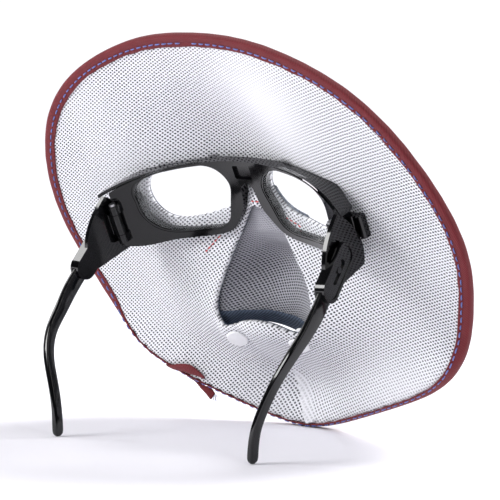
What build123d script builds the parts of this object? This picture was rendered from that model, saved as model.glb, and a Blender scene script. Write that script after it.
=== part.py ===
from build123d import *
import math
import os

# A fabric face mask carried by a pair of fit-over glasses, standing on its chin edge and on the two
# temple tips. Millimetres.
#
# The pieces are drawn in the mask's own axes: X to the wearer's right, Y forward (away from the
# face) and Z up the mask, with the chin edge at the origin. At the end the whole thing is leaned
# back as it stands: +Z up, +Y forward, origin at the bottom centre of its bounding box.

os.makedirs("parts", exist_ok=True)

# Driving dimensions
lean_back = 24.4
lining_thickness = 2.0
shell_thickness = 0.8
layer_gap = 0.1
binding_width = 6.2
binding_cloth = 0.7
stitch_radius = 0.28
stitch_length = 2.4
stitch_pitch = 4.4
pocket_gap = 0.15
hem_width = 3.6
cap_diameter = 12.4
cap_height = 1.3
cap_spacing = 40.8
cap_up = 54.0
lens_thickness = 2.0
rim_depth = 5.0
lens_set = 0.9
base_curve = 139.0
bridge_set = 7.0
ledge_thickness = 1.8
hinge_x = 71.6
hinge_y = -15.6
knuckle_radius = 2.4
pin_radius = 0.9
running_fit = 0.05
plate_thickness = 2.2
plate_tilt = 5.0
slide_drop = 28.0
slide_gap = 0.3
sleeve_radius = 5.9
sleeve_length = 19.8
sleeve_wall = 1.2
head_width = 8.4
head_thickness = 2.6
head_length = 30.0
stud_radius = 1.5
slide_in = 4.0
slide_out = 6.0
cord_hole_diameter = 2.4
base_shift = (0.0, 55.2, -0.445)

shell_start = lining_thickness + layer_gap
shell_end = shell_start + shell_thickness


# Surfaces and outlines
def mask_height(x, z):
    """How far forward the wearer's side of the mask lies: brow bulge, hollow under the nose, chin
    cup, pinch between the eye holes, rise over the cheeks and a slight twist of the side edges."""
    brow = 18 * math.exp(-(((z - 142) / 42) ** 2) - (x / 50) ** 2)
    lip = -16 * math.exp(-(((z - 62) / 17) ** 2) - (x / 45) ** 2)
    chin = 8 * math.exp(-(((z - 26) / 15) ** 2) - (x / 22) ** 2)
    pinch = -5 * math.exp(-(((z - 118) / 13) ** 2) - (x / 8) ** 2)
    cheek = 2.5 * math.exp(-(((z - 107) / 9) ** 2) - ((abs(x) - 27) / 15) ** 2)
    twist = 4 * (x / 131) ** 2 * math.cos(math.pi * (z - 60) / 130)
    return brow + lip + chin + pinch + cheek + twist


def seam_half_width(z):
    """Half the width of the nose opening between its two side seams."""
    return 32 * math.sqrt(max(0.0, 1 - (max(z - 68, 0) / 50) ** 1.5))


def pocket_profile(z):
    """How far forward the middle line of the nose pocket lies."""
    tip = 14 * math.exp(-(((z - 86) / 16) ** 2))
    return 6 + tip - 3 * math.exp(-(((z - 118) / 10) ** 2))


def pocket_height(x, z):
    base = mask_height(x, z) + shell_end + pocket_gap
    middle = mask_height(0, z) + shell_end + pocket_gap
    reach = max(0.0, pocket_profile(z) - middle)
    width = max(seam_half_width(z), 0.5)
    share = max(0.0, 1 - (x / width) ** 2)
    return base + reach * share ** 1.3


def height_face(height, x_low, x_high, z_low, z_high, columns, rows):
    grid = []
    for i in range(columns):
        x = x_low + (x_high - x_low) * i / (columns - 1)
        line = []
        for j in range(rows):
            z = z_low + (z_high - z_low) * j / (rows - 1)
            line.append(Vector(x, height(x, z), z))
        grid.append(line)
    return Face.make_surface_from_array_of_points(grid, tol=0.01, max_deg=3)


def slab(face, start, end):
    """The space between two copies of a surface set forward by start and end."""
    return extrude(face.moved(Location((0, start, 0))), amount=end - start, dir=(0, 1, 0))


def front_edge(points, closed=False):
    return Edge.make_spline([Vector(x, 0, z) for x, z in points], periodic=closed)


def grown_outline(points, grow=0.0):
    """A smooth closed outline through the points, set outward by grow (inward if negative)."""
    loop = front_edge(points, closed=True)
    if grow:
        following = points[1:] + points[:1]
        area = sum(a[0] * b[1] - b[0] * a[1] for a, b in zip(points, following))
        outward = grow if area > 0 else -grow
        count = 5 * len(points)
        moved = []
        for i in range(count):
            spot = loop @ (i / count)
            way = loop % (i / count)
            moved.append((spot.X + way.Z * outward, spot.Z - way.X * outward))
        loop = front_edge(moved, closed=True)
    return Wire([loop])


def front_prism(wire, low=-80, high=80):
    """Everything in front of and behind a closed outline drawn in the front view."""
    face = Face(wire)
    return extrude(face.moved(Location((0, low, 0))), amount=high - low, dir=(0, 1, 0))


def mirrored_points(half):
    """Right half listed from top to bottom, first and last on the middle line."""
    left = [(-x, z) for x, z in half[1:-1]]
    return half + left[::-1]


def place(shape):
    return shape.rotate(Axis.X, lean_back).moved(Location(base_shift))


parts = {}

# Mask outline and layers
outline_half = [
    (0, 213),
    (30, 211),
    (60, 203),
    (88, 189.5),
    (108, 172),
    (122, 149.5),
    (130, 124),
    (130.5, 100),
    (124, 76),
    (114, 53),
    (98, 34.5),
    (70, 20.5),
    (35, 8.5),
    (0, 0.6),
]
outline = mirrored_points(outline_half)
outer_wire = grown_outline(outline)
cloth_wire = grown_outline(outline, -1.1)
inner_wire = grown_outline(outline, -binding_width)

mask_face = height_face(mask_height, -140, 140, -8, 222, 57, 47)

opening_half = [
    (0, 118.5),
    (6, 115),
    (13, 106),
    (20, 95),
    (26.5, 84),
    (31, 73),
    (30.5, 64.5),
    (25, 61.5),
    (12, 65),
    (0, 66.7),
]


def nose_outline(grow=0.0):
    return grown_outline(mirrored_points(opening_half), grow)


eye_points = [
    (8, 130),
    (11, 122.5),
    (20, 115.5),
    (33, 112),
    (46, 110.5),
    (57, 112.5),
    (63.5, 119.5),
    (64, 128),
    (58, 135),
    (44, 138.5),
    (28, 139.5),
    (14, 137.5),
]


def eye_hole(side, shrink=0.0):
    return front_prism(grown_outline([(side * x, z) for x, z in eye_points], -shrink))


cloth_prism = front_prism(cloth_wire)
lining = slab(mask_face, 0, lining_thickness) & cloth_prism
lining = lining - front_prism(nose_outline()) - eye_hole(1) - eye_hole(-1)
shell = slab(mask_face, shell_start, shell_end) & cloth_prism
shell = shell - front_prism(nose_outline(-0.6)) - eye_hole(1, 1.3) - eye_hole(-1, 1.3)
parts["mask_mesh_lining"] = lining
parts["mask_outer_shell"] = shell

# Bias binding folded over the rim of both layers
binding_ring = front_prism(outer_wire) - front_prism(inner_wire)
binding = slab(mask_face, -binding_cloth, shell_end + binding_cloth) & binding_ring
channel = slab(mask_face, -0.03, shell_end + 0.03) & front_prism(grown_outline(outline, -1.05))
parts["edge_binding"] = binding - channel


# Blue running stitch along the binding, on the wearer's side
def cloth_point(x, z, lift):
    return Vector(x, mask_height(x, z) + lift, z)


def stitch(start, end, radius):
    """One visible stitch: a round thread between two points of the cloth."""
    direction = end - start
    plane = Plane(origin=start, z_dir=direction)
    return Solid.make_cylinder(radius, direction.length, plane)


def stitches_along(edge, start, end, pitch, length, lift, radius):
    """Separate stitches along an edge drawn in the front view, from start to end in millimetres."""
    count = int((end - start) / pitch)
    found = []
    for i in range(count):
        first = edge.position_at(start + i * pitch, position_mode=PositionMode.LENGTH)
        second = edge.position_at(start + i * pitch + length, position_mode=PositionMode.LENGTH)
        a = cloth_point(first.X, first.Z, lift)
        b = cloth_point(second.X, second.Z, lift)
        found.append(stitch(a, b, radius))
    return Compound(found)


stitch_wire = grown_outline(outline, -4.2)
stitch_lift = -binding_cloth - stitch_radius - 0.05
parts["binding_stitches"] = stitches_along(
    stitch_wire, 1, stitch_wire.length - 3, stitch_pitch, stitch_length, stitch_lift, stitch_radius
)


# Nose pocket: mesh inside, cloth outside, a rolled hem along its open lower edge
pocket_half = [
    (0, 122),
    (9, 118),
    (17.5, 107),
    (24.5, 95.5),
    (30.5, 84.5),
    (34.5, 73),
    (34.5, 67),
]
hem_line = [(34.5, 62.5), (22, 56), (0, 51.5), (-22, 56), (-34.5, 62.5)]


def strip_prism(top, bottom):
    """A band between two open curves of the front view that run the same way."""
    upper = front_edge(top)
    lower = front_edge(bottom)
    near = Edge.make_line(upper @ 0, lower @ 0)
    far = Edge.make_line(upper @ 1, lower @ 1)
    return front_prism(Wire([upper, far, lower, near]))


pocket_sides = [(-x, z) for x, z in pocket_half[::-1]] + pocket_half[1:]
hem_top = [(x, z + hem_width) for x, z in hem_line]
pocket_face = height_face(pocket_height, -40, 40, 40, 128, 41, 45)
inset_sides = [(x * 0.99, z - 0.3) for x, z in pocket_sides]
inset_bottom = [(x * 0.99, z + 0.3) for x, z in hem_top]
parts["nose_pocket_lining"] = slab(pocket_face, 0.9, 2.5) & strip_prism(inset_sides[::-1], inset_bottom)
parts["nose_pocket_shell"] = slab(pocket_face, 2.6, 3.3) & strip_prism(pocket_sides[::-1], hem_top)
parts["nose_pocket_hem"] = slab(pocket_face, 0.1, 4.0) & strip_prism(
    [(x, z - 0.1) for x, z in hem_top], hem_line
)


# Chin dart: the right side lapped over the left, on the wearer's side
dart_points = [(-9.5, 30), (-6.5, 19), (-4, 7.5), (14, 9.5), (8, 22), (-3, 33)]
dart_wire = Wire.make_polygon([Vector(x, 0, z) for x, z in dart_points], close=True)
dart = slab(mask_face, -1.7, -0.1) & front_prism(dart_wire)
parts["chin_dart_overlap"] = dart


# Loose ends of the binding at the lower left: a fold lying on the inside and a frayed tail below
def cloth_patch(points, start, end):
    wire = Wire.make_polygon([Vector(x, 0, z) for x, z in points], close=True)
    return slab(mask_face, start, end) & front_prism(wire)


parts["binding_tail_inner"] = cloth_patch(
    [(-82.2, 28.4), (-73, 28), (-64.9, 26.9), (-59.2, 21.6), (-73, 22.6)], -2.0, -1.35
)
parts["binding_tail_outer"] = cloth_patch(
    [(-66.6, 18.6), (-61.5, 17.2), (-58.6, 14.3), (-62.4, 13.6)], -1.6, -0.8
)


# Red stitches that hold the seams between the eye holes and the nose opening
def seam_row(start, end):
    x_step = (end[0] - start[0]) / 4
    z_step = (end[1] - start[1]) / 4
    row = []
    for i in range(4):
        a = (start[0] + x_step * i, start[1] + z_step * i)
        b = (a[0] + x_step * 0.62, a[1] + z_step * 0.62)
        row.append(stitch(cloth_point(*a, -0.2), cloth_point(*b, -0.2), 0.13))
    return row


parts["seam_stitches"] = Compound(
    seam_row((-28, 101.2), (-38, 93.1))
    + seam_row((13.4, 113.4), (26, 107.6))
    + seam_row((-2, 120.6), (3.6, 120.4))
)


# Snap fasteners under the nose: cap on the wearer's side, socket on the outside
def snap_plane(side, lift):
    """A plane on the cloth at the fastener, with its normal to the wearer."""
    x = side * cap_spacing / 2
    step = 0.5
    across = cloth_point(x + step, cap_up, 0) - cloth_point(x - step, cap_up, 0)
    along = cloth_point(x, cap_up + step, 0) - cloth_point(x, cap_up - step, 0)
    normal = along.cross(across).normalized()
    normal = normal if normal.Y < 0 else normal * -1
    return Plane(origin=cloth_point(x, cap_up, 0) + normal * lift, z_dir=normal)


def snap_cap(side):
    dome_radius = cap_diameter ** 2 / (8 * cap_height) + cap_height / 2
    blank = Solid.make_cylinder(cap_diameter / 2, cap_height)
    dome = Solid.make_sphere(dome_radius, Plane((0, 0, cap_height - dome_radius)), -90, 90, 360)
    body = blank & dome
    return snap_plane(side, 0.75).location * body


def snap_socket(side):
    ring = Solid.make_cylinder(5.2, 1.2) + Solid.make_cylinder(3.6, 3.2)
    ring = ring - Solid.make_cylinder(1.8, 2.2, Plane((0, 0, 1.4)))
    plane = snap_plane(side, -3.9)
    return Plane(origin=plane.origin, z_dir=plane.z_dir * -1).location * ring


for side, word in ((1, "right"), (-1, "left")):
    parts[f"snap_cap_{word}"] = snap_cap(side)
    parts[f"snap_socket_{word}"] = snap_socket(side)


# Glasses front: rims, bridge and nose wings cut from one curved slab, with a brow ledge in front
def rim_rear(x):
    """How far forward the rear face of the front lies, a round curve across the brow."""
    return bridge_set - base_curve + math.sqrt(base_curve ** 2 - x ** 2)


def curved_slab(start, end, reach=84, z_low=90, z_high=152):
    """A slab that follows the curve of the front, between two depths in front of its rear face."""
    rear = Edge.make_three_point_arc(
        Vector(-reach, rim_rear(-reach) + start, z_low),
        Vector(0, rim_rear(0) + start, z_low),
        Vector(reach, rim_rear(reach) + start, z_low),
    )
    front = rear.moved(Location((0, end - start, 0)))
    near = Edge.make_line(rear @ 0, front @ 0)
    far = Edge.make_line(rear @ 1, front @ 1)
    return extrude(Face(Wire([rear, far, front, near])), amount=z_high - z_low, dir=(0, 0, 1))


top_half = [(0, 143.1), (12, 142.9), (24, 142.1), (36, 140.8), (48, 139), (60, 136.6), (73.4, 132.4)]
nose_half = [(0, 131.2), (3.2, 129.5), (4.8, 124.5), (5.8, 119.5), (8.5, 114.5), (12.5, 109.5)]
under_half = [(12.5, 109.5), (18, 105.2), (26, 103.2), (38, 102.5), (52, 102.1), (64, 101.3), (73.4, 103.2)]

lens_points = [
    (62.6, 127),
    (61, 133.6),
    (53, 137.4),
    (42, 139.3),
    (28, 140.6),
    (18.5, 139),
    (13, 134.6),
    (11, 129.8),
    (12.5, 123.5),
    (15, 116.5),
    (17.5, 111),
    (22, 107.8),
    (32, 106.5),
    (44, 106.5),
    (53, 108.2),
    (59, 113),
    (62, 120),
]


def both_sides(half):
    return [(-x, z) for x, z in half[::-1]] + half[1:]


def front_outline():
    top = front_edge(both_sides(top_half))
    nose = front_edge(both_sides(nose_half))
    right = front_edge(under_half)
    left = front_edge([(-x, z) for x, z in under_half])
    right_end = Edge.make_line(top @ 1, right @ 1)
    left_end = Edge.make_line(top @ 0, left @ 1)
    return Wire([top, right_end, right, nose, left, left_end])


def lens_wire(side, grow=0.0):
    return grown_outline([(side * x, z) for x, z in lens_points], grow)


lens_end = lens_set + lens_thickness
front = front_prism(front_outline()) & curved_slab(0, rim_depth)
front = front - slab(mask_face, -0.4, 60)
for side in (1, -1):
    front = front - front_prism(lens_wire(side))
    front = front - (front_prism(lens_wire(side, 0.9)) & curved_slab(-1, 0.3))
    lens = front_prism(lens_wire(side, 1.25)) & curved_slab(lens_set, lens_end)
    parts["lens_right" if side == 1 else "lens_left"] = lens

# Recess in the back of the bridge
recess = Pos(0, bridge_set, 137) * Box(11, 3, 7)
front = front - fillet(recess.edges().filter_by(Axis.Y), 1)


# Brow ledge: from the rear top edge of the front forward to the mask, dropping a little at the middle
def ledge_top(x, y):
    share = abs(x) / 81
    rear_top = 143.1 - 7.2 * share ** 1.9 - 4.5 * share ** 5
    drop = 3.2 * max(0.0, 1 - (x / 60) ** 2) / 10
    return rear_top - drop * (y - rim_rear(x))


ledge_grid = []
for i in range(33):
    x = -84 + 168 * i / 32
    ledge_grid.append([Vector(x, y, ledge_top(x, y)) for y in (-30, -20, -10, 0, 10, 20, 30)])
ledge_face = Face.make_surface_from_array_of_points(ledge_grid, tol=0.01, max_deg=3)
ledge_block = extrude(ledge_face.moved(Location((0, 0, -ledge_thickness))), ledge_thickness, (0, 0, 1))


def ledge_front(x):
    return min(mask_height(x, 141) - 0.35, rim_rear(x) + 11)


ledge_ends = 79.5
front_curve = []
for i in range(21):
    x = -ledge_ends + 2 * ledge_ends * i / 20
    front_curve.append(Vector(x, ledge_front(x), 100))
ledge_rear = Edge.make_three_point_arc(
    Vector(-ledge_ends, rim_rear(ledge_ends) + 2.0, 100),
    Vector(0, rim_rear(0) + 0.4, 100),
    Vector(ledge_ends, rim_rear(ledge_ends) + 2.0, 100),
)
ledge_edge = Edge.make_spline(front_curve)
ledge_plan = Wire(
    [
        ledge_rear,
        Edge.make_line(ledge_rear @ 1, ledge_edge @ 1),
        ledge_edge,
        Edge.make_line(ledge_edge @ 0, ledge_rear @ 0),
    ]
)
ledge = ledge_block & extrude(Face(ledge_plan), amount=60, dir=(0, 0, 1))
front = front + ledge
for side in (1, -1):
    front = front - (front_prism(lens_wire(side, 1.32)) & curved_slab(lens_set - 0.06, lens_end + 0.06))


# Hinge ends: a block and an outer lug on the front, two knuckles each side, a pin through all three
def block(x, y, z):
    """A box between two limits in each direction."""
    size = Vector(x[1] - x[0], y[1] - y[0], z[1] - z[0])
    middle = Vector(x[0] + x[1], y[0] + y[1], z[0] + z[1]) * 0.5
    return Pos(middle) * Box(size.X, size.Y, size.Z)


def upright(radius, z_low, z_high):
    return Solid.make_cylinder(radius, z_high - z_low, Plane((hinge_x, hinge_y, z_low)))


def hinge_end():
    lug = fillet(block((64, 79), (-4.1, 1.0), (112.5, 123.5)).edges().filter_by(Axis.Z), 1.6)
    groove = Pos(74.6, -4.4, 118) * Cylinder(1.6, 20)
    end = lug - groove + block((66, 73.2), (-9, -2.5), (108, 128))
    for low, high in ((106.6, 111.0), (122.0, 126.4)):
        web = block((hinge_x - 2.2, hinge_x + 1.8), (hinge_y, -9), (low, high))
        end = end + upright(knuckle_radius, low, high) + web
    return end - upright(pin_radius + 0.02, 100, 130)


end_right = hinge_end()
knuckle_room = upright(knuckle_radius + 0.4, 111.0, 122.0)
front = front - knuckle_room - mirror(knuckle_room, about=Plane.YZ)
parts["glasses_frame"] = front + end_right + mirror(end_right, about=Plane.YZ)
pin = upright(pin_radius, 106.0, 127.0) + upright(1.7, 126.5, 127.6)
pin = pin - Pos(hinge_x, hinge_y, 127.6) * Box(2.4, 0.5, 0.8)


# Right side shield, drawn on its own slightly splayed plane: back along the shield, up, and outward
shield_origin = Vector(75.5, -8, 0)
back_way = Vector(math.sin(math.radians(plate_tilt)), -math.cos(math.radians(plate_tilt)), 0)
out_way = Vector(math.cos(math.radians(plate_tilt)), math.sin(math.radians(plate_tilt)), 0)
slide_way = back_way * math.cos(math.radians(slide_drop)) - Vector(0, 0, math.sin(math.radians(slide_drop)))
sleeve_start = (13.5, 113.5)
sleeve_middle = head_thickness / 2 + 0.4


def side_point(back, z, out=0.0):
    return shield_origin + back_way * back + out_way * out + Vector(0, 0, z)


def slide_point(along, out=0.0):
    """A point on the centre line of the sleeve, measured from the centre of its front end."""
    return side_point(*sleeve_start, out) + slide_way * along


def side_prism(wire, low, high):
    face = Face(wire).moved(Location(out_way * low))
    return extrude(face, amount=high - low, dir=out_way)


def slide_plane(along, sideways, out):
    """A plane on the sleeve: X back along it, Z outward, set sideways from its centre line."""
    across = out_way.cross(slide_way)
    return Plane(origin=slide_point(along, out) + across * sideways, x_dir=slide_way, z_dir=out_way)


def stadium(start, end, radius, low, high):
    """A long round-ended block along the sleeve."""
    tall = high - low
    body = Solid.make_box(end - start, 2 * radius, tall, slide_plane(start, -radius, low))
    body = body + Solid.make_cylinder(radius, tall, slide_plane(start, 0, low))
    return body + Solid.make_cylinder(radius, tall, slide_plane(end, 0, low))


def plate_outline():
    top = Edge.make_spline(
        [side_point(7.5, 131.4), side_point(13, 128.3), side_point(20, 123), side_point(27, 113)]
    )
    rear = Edge.make_line(side_point(27, 113), side_point(27, 104))
    corner = Edge.make_three_point_arc(side_point(27, 104), side_point(25.9, 101.4), side_point(23, 100.4))
    bottom = Edge.make_line(side_point(23, 100.4), side_point(-0.5, 101))
    nose = Edge.make_three_point_arc(side_point(-0.5, 101), side_point(-3.2, 107), side_point(-3.4, 113))
    seam = Edge.make_spline([side_point(-3.4, 113), side_point(0.6, 123), side_point(7.5, 131.4)])
    return Wire([top, rear, corner, bottom, nose, seam])


half_plate = plate_thickness / 2
sleeve_top = sleeve_middle + head_thickness / 2 + slide_gap + sleeve_wall
shield = side_prism(plate_outline(), -half_plate, half_plate)
shield = shield + stadium(0, sleeve_length, sleeve_radius, -half_plate, sleeve_top)
shield = shield + block(
    (hinge_x, 75.6), (hinge_y - 1.7, hinge_y + 1.4), (111.3, 121.7)
) + upright(knuckle_radius, 111.3, 121.7)
channel_low = sleeve_middle - head_thickness / 2 - slide_gap
channel_high = sleeve_middle + head_thickness / 2 + slide_gap
channel_width = head_width + 2 * slide_gap
shield = shield - Solid.make_box(
    60, channel_width, channel_high - channel_low, slide_plane(-3.5, -channel_width / 2, channel_low)
)
shield = shield - stadium(0.5, sleeve_length - 0.5, 4.6, sleeve_top - 0.5, sleeve_top + 1)
stud_at = 8.5
shield = shield - stadium(
    stud_at - slide_in, stud_at + slide_out, stud_radius + slide_gap, channel_high - 0.1, sleeve_top + 1
)
shield = shield - upright(pin_radius + running_fit, 100, 130)
teardrop = Wire(
    [
        Edge.make_spline(
            [
                side_point(16, 122.6, half_plate),
                side_point(12, 119.5, half_plate),
                side_point(17, 117.6, half_plate),
            ]
        ),
        Edge.make_spline(
            [
                side_point(17, 117.6, half_plate),
                side_point(23, 114.6, half_plate),
                side_point(24.4, 115.6, half_plate),
            ]
        ),
        Edge.make_spline(
            [
                side_point(24.4, 115.6, half_plate),
                side_point(21, 120, half_plate),
                side_point(16, 122.6, half_plate),
            ]
        ),
    ]
)
shield = shield - side_prism(teardrop, -0.8, 1)
shield = fillet(shield.edges().filter_by(GeomType.LINE).filter_by(Axis.Z).group_by(Axis.Y)[0], 0.3)


# Right temple arm: a straight head in the sleeve, then a round-cornered bar that curves down and in
stud = Solid.make_cylinder(stud_radius, sleeve_wall, slide_plane(stud_at, 0, channel_high - slide_gap))
head_plane = Plane(origin=slide_point(2, sleeve_middle), x_dir=out_way, z_dir=slide_way)
head = extrude(head_plane * RectangleRounded(head_thickness, head_width, head_thickness * 0.3), head_length)
arm_path = Edge.make_spline(
    [
        slide_point(2 + head_length, sleeve_middle),
        Vector(80.2, -60, 92.9),
        Vector(78.6, -71.5, 87.2),
        Vector(74.6, -81.5, 79.2),
        Vector(69.6, -88.4, 69.8),
        Vector(65.6, -94.4, 60),
        Vector(64.0, -101.03, 46.44),
    ],
    tangents=[slide_way, Vector(-0.1, -0.42, -0.9)],
)
arm_sizes = [
    (0.0, head_thickness, head_width),
    (0.12, 3.3, 7.2),
    (0.32, 3.5, 5.8),
    (0.55, 3.4, 5.1),
    (0.8, 3.5, 5.1),
    (0.96, 3.6, 5.4),
    (0.99, 2.8, 4.4),
    (1.0, 1.8, 3.2),
]


def arm_plane(share):
    way = arm_path % share
    across = (Vector(1, 0, 0) - way * way.X).normalized()
    return Plane(origin=arm_path @ share, x_dir=across, z_dir=way)


def arm_section(share):
    """The bar's thickness and width between the sizes listed above, as a round-cornered outline."""
    for (near, thick, wide), (far, next_thick, next_wide) in zip(arm_sizes, arm_sizes[1:]):
        if share <= far:
            step = (share - near) / (far - near)
            thick = thick + (next_thick - thick) * step
            wide = wide + (next_wide - wide) * step
            return arm_plane(share) * RectangleRounded(thick, wide, thick * 0.3)


shares = [i / 24 for i in range(24)] + [0.98, 0.992, 1.0]
arm = Part() + [head, loft([arm_section(share) for share in shares], ruled=True)]
hole_plane = arm_plane(0.93)
cord_hole = Solid.make_cylinder(
    cord_hole_diameter / 2,
    10,
    Plane(origin=hole_plane.origin - hole_plane.x_dir * 5, z_dir=hole_plane.x_dir),
)
arm = arm - cord_hole

for name, shape in (
    ("hinge_pin", pin),
    ("side_shield", shield),
    ("temple_arm", arm),
    ("length_stud", stud),
):
    parts[f"{name}_right"] = shape
    parts[f"{name}_left"] = mirror(shape, about=Plane.YZ)


def save(name, shape):
    export_step(place(shape), f"parts/{name}.step")


for name, shape in parts.items():
    print(name, len(shape.solids()), round(shape.volume))
    save(name, shape)
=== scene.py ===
import math
import bpy
import numpy as np
from mathutils import Matrix, Vector, noise
from mathutils.geometry import delaunay_2d_cdt


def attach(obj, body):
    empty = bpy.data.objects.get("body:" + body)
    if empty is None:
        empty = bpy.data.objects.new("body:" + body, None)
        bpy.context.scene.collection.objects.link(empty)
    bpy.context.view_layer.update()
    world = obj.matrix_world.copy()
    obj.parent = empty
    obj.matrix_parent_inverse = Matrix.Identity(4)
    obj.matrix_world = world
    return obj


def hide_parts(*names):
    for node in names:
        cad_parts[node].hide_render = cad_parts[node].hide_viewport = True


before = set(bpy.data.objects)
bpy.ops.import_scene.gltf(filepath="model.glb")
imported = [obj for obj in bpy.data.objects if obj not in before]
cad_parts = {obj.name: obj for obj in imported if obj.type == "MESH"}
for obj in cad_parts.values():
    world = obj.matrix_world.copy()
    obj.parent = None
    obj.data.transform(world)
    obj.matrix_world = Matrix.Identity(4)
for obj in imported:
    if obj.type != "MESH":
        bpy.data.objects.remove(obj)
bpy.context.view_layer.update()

# A face mask of spacer mesh and twill, carried by glossy black glasses. The cloth is drawn in the
# mask's own axes in millimetres (X to the wearer's right, N forward, U up the mask) and is then
# leaned back and moved to the row frame in metres.

main = "mask_and_front"
lean_back = math.radians(24.4)
base_shift = (0.0, 55.2, -0.445)

lining_thickness = 2.0
shell_start = 2.1
shell_end = 2.9
binding_depth = 6.2
binding_narrowing = 0.42
stitch_pitch = 4.4
stitch_length = 2.9
stitch_inset = 4.2
rim_swell = 4.6
rim_swell_inset = 3.2
cap_spacing = 40.8
cap_up = 54.0


def place(x, n, u):
    """A point of the mask's own axes, in millimetres, to the row frame in metres."""
    y = n * math.cos(lean_back) - u * math.sin(lean_back)
    z = n * math.sin(lean_back) + u * math.cos(lean_back)
    return Vector((x + base_shift[0], y + base_shift[1], z + base_shift[2])) * 0.001


def turn(x, n, u):
    """A direction of the mask's own axes to the row frame."""
    return place(x, n, u) - place(0, 0, 0)


# Shapes shared with the CAD model
def mask_height(x, u):
    brow = 18 * math.exp(-(((u - 142) / 42) ** 2) - (x / 50) ** 2)
    lip = -16 * math.exp(-(((u - 62) / 17) ** 2) - (x / 45) ** 2)
    chin = 8 * math.exp(-(((u - 26) / 15) ** 2) - (x / 22) ** 2)
    pinch = -5 * math.exp(-(((u - 118) / 13) ** 2) - (x / 8) ** 2)
    cheek = 2.5 * math.exp(-(((u - 107) / 9) ** 2) - ((abs(x) - 27) / 15) ** 2)
    twist = 4 * (x / 131) ** 2 * math.cos(math.pi * (u - 60) / 130)
    return brow + lip + chin + pinch + cheek + twist


def seam_half_width(u):
    return 32 * math.sqrt(max(0.0, 1 - (max(u - 68, 0) / 50) ** 1.5))


def pocket_profile(u):
    tip = 14 * math.exp(-(((u - 86) / 16) ** 2))
    return 6 + tip - 3 * math.exp(-(((u - 118) / 10) ** 2))


def pocket_height(x, u):
    base = mask_height(x, u) + 3.05
    middle = mask_height(0, u) + 3.05
    reach = max(0.0, pocket_profile(u) - middle)
    share = max(0.0, 1 - (x / max(seam_half_width(u), 0.5)) ** 2)
    return base + reach * share ** 1.3


outline_half = [
    (0, 213), (30, 211), (60, 203), (88, 189.5), (108, 172), (122, 149.5), (130, 124),
    (130.5, 100), (124, 76), (114, 53), (98, 34.5), (70, 20.5), (35, 8.5), (0, 0.6),
]
opening_half = [
    (0, 118.5), (6, 115), (13, 106), (20, 95), (26.5, 84), (31, 73), (30.5, 64.5), (25, 61.5),
    (12, 65), (0, 66.7),
]
eye_points = [
    (8, 130), (11, 122.5), (20, 115.5), (33, 112), (46, 110.5), (57, 112.5), (63.5, 119.5),
    (64, 128), (58, 135), (44, 138.5), (28, 139.5), (14, 137.5),
]
pocket_half = [(0, 122), (9, 118), (17.5, 107), (24.5, 95.5), (30.5, 84.5), (34.5, 73), (34.5, 62.5)]
hem_line = [(34.5, 57), (22, 53.4), (8, 54.6), (-8, 57.6), (-22, 60), (-34.5, 62.2)]


def mirrored(half):
    return half + [(-x, u) for x, u in half[1:-1][::-1]]


def spline_points(points, count, closed):
    """Evenly spaced points on a smooth curve through the given points."""
    knots = np.array(points, float)
    if closed:
        knots = np.vstack([knots, knots[:1]])
    steps = np.linalg.norm(np.diff(knots, axis=0), axis=1)
    last = len(steps)
    matrix = np.zeros((last + 1, last + 1))
    rhs = np.zeros((last + 1, knots.shape[1]))
    for i in range(1, last):
        matrix[i, i - 1:i + 2] = steps[i - 1], 2 * (steps[i - 1] + steps[i]), steps[i]
        rhs[i] = 6 * ((knots[i + 1] - knots[i]) / steps[i] - (knots[i] - knots[i - 1]) / steps[i - 1])
    if closed:
        matrix[0, 0], matrix[0, last] = 1, -1
        matrix[last, 0], matrix[last, 1] = 2 * steps[0], steps[0]
        matrix[last, last - 1], matrix[last, last] = steps[-1], 2 * steps[-1]
        rhs[last] = 6 * ((knots[1] - knots[0]) / steps[0] - (knots[-1] - knots[-2]) / steps[-1])
    else:
        matrix[0, 0] = matrix[last, last] = 1
    bend = np.linalg.solve(matrix, rhs)
    dense = []
    for i, step in enumerate(steps):
        for share in np.linspace(0, 1, 40, endpoint=False):
            a, b = 1 - share, share
            dense.append(
                a * knots[i] + b * knots[i + 1]
                + ((a ** 3 - a) * bend[i] + (b ** 3 - b) * bend[i + 1]) * step ** 2 / 6
            )
    dense.append(knots[-1])
    dense = np.array(dense)
    travel = np.concatenate([[0], np.cumsum(np.linalg.norm(np.diff(dense, axis=0), axis=1))])
    wanted = np.linspace(0, travel[-1], count + 1 if closed else count)
    if closed:
        wanted = wanted[:-1]
    return np.stack([np.interp(wanted, travel, dense[:, k]) for k in range(dense.shape[1])], axis=1)


def grown(loop, grow):
    """A closed loop set outward by grow, one amount or one for each point, inward if negative."""
    ahead = np.roll(loop, -1, axis=0)
    way = ahead - np.roll(loop, 1, axis=0)
    way = way / np.linalg.norm(way, axis=1)[:, None]
    area = np.sum(loop[:, 0] * ahead[:, 1] - ahead[:, 0] * loop[:, 1])
    amounts = np.broadcast_to(np.asarray(grow, float), (len(loop),))[:, None]
    return loop + np.stack([way[:, 1], -way[:, 0]], axis=1) * (amounts if area > 0 else -amounts)


outline = spline_points(mirrored(outline_half), 620, True)
opening = spline_points(mirrored(opening_half), 130, True)
opening[:, 1] -= 1.0 * np.clip(opening[:, 0] / 30, 0, 1) * np.clip((84 - opening[:, 1]) / 14, 0, 1)
eye_right = spline_points(eye_points, 110, True)
eye_left = eye_right * np.array([-1, 1])


def inside(loop, x, u):
    hit = False
    px, pu = loop[-1]
    for qx, qu in loop:
        if (qu > u) != (pu > u) and x < (px - qx) * (u - qu) / (pu - qu) + qx:
            hit = not hit
        px, pu = qx, qu
    return hit


def edge_distance(loop, x, u):
    return float(np.min(np.hypot(loop[:, 0] - x, loop[:, 1] - u)))


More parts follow.
